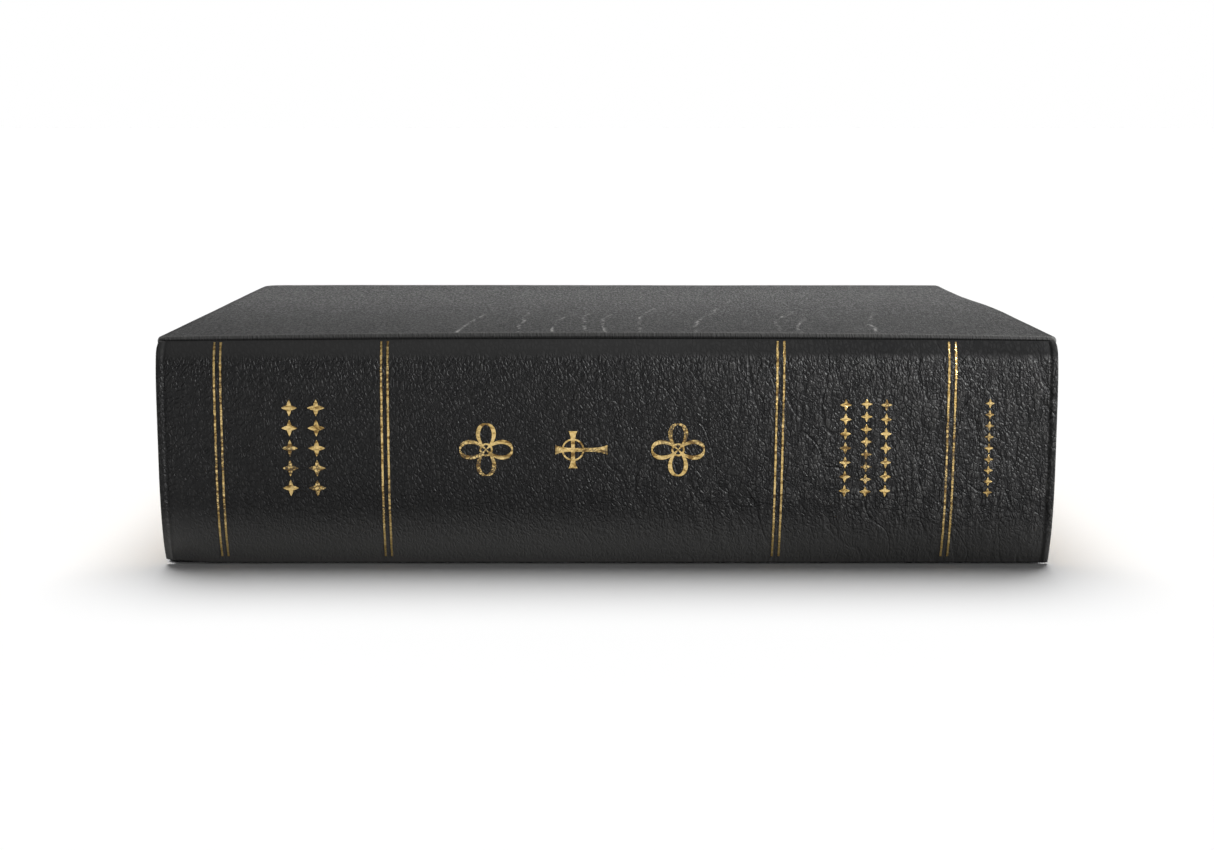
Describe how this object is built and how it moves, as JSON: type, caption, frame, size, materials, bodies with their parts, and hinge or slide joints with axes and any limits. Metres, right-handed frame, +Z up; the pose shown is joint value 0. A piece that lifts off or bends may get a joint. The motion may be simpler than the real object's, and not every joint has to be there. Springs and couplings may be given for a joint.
{
  "type": "bible",
  "caption": "Thick leather-bound bible lying closed on its back cover, with a rounded gold-tooled spine; it opens at the front cover and flat in the middle.",
  "frame": {"origin": "centre of the bounding box's base, on the surface that the book lies on", "axes": "+X along the spine from the head to the tail of the book; +Y from the spine towards the fore-edge; +Z up through the front cover"},
  "size_m": [0.242, 0.173, 0.0625],
  "materials": {
    "leather": "satin",
    "board": "matte",
    "endpaper": "matte",
    "pages": "matte",
    "ribbon": "satin",
    "lining": "matte",
    "super": "matte",
    "thread": "matte",
    "band": "satin",
    "gold_foil": "polished"
  },
  "bodies": {
    "back_half": {"back_cover_leather": "leather", "back_board": "board", "back_pastedown": "endpaper", "back_flyleaf": "endpaper", "ribbon_marker": "ribbon", "gathering_01": "pages", "gathering_02": "pages", "gathering_03": "pages", "gathering_04": "pages", "gathering_05": "pages", "gathering_06": "pages", "gathering_07": "pages", "gathering_08": "pages"},
    "spine": {"spine_leather": "leather", "spine_inlay": "board", "spine_lining": "lining", "super_cloth": "super", "sewing_thread": "thread", "head_band": "band", "tail_band": "band", "gold_rules": "gold_foil", "gold_ornaments": "gold_foil"},
    "front_half": {"gathering_09": "pages", "gathering_10": "pages", "gathering_11": "pages", "gathering_12": "pages", "gathering_13": "pages", "gathering_14": "pages", "gathering_15": "pages", "gathering_16": "pages", "front_flyleaf": "endpaper"},
    "front_cover": {"front_cover_leather": "leather", "front_board": "board", "front_pastedown": "endpaper"}
  },
  "joints": [
    {"name": "spine_fold", "type": "hinge", "parent": "back_half", "child": "spine", "pos_m": [0, -0.08541, 0.0012], "axis": [1, 0, 0], "range_deg": [0, 90]},
    {"name": "front_half_fold", "type": "hinge", "parent": "spine", "child": "front_half", "pos_m": [0, -0.08541, 0.0613], "axis": [1, 0, 0], "range_deg": [0, 90]},
    {"name": "front_cover_hinge", "type": "hinge", "parent": "front_half", "child": "front_cover", "pos_m": [0, -0.08541, 0.0628], "axis": [-1, 0, 0], "range_deg": [-178, 0]}
  ],
  "couplings": [
    {"joint": "front_half_fold", "follows": "spine_fold", "ratio": 1}
  ]
}
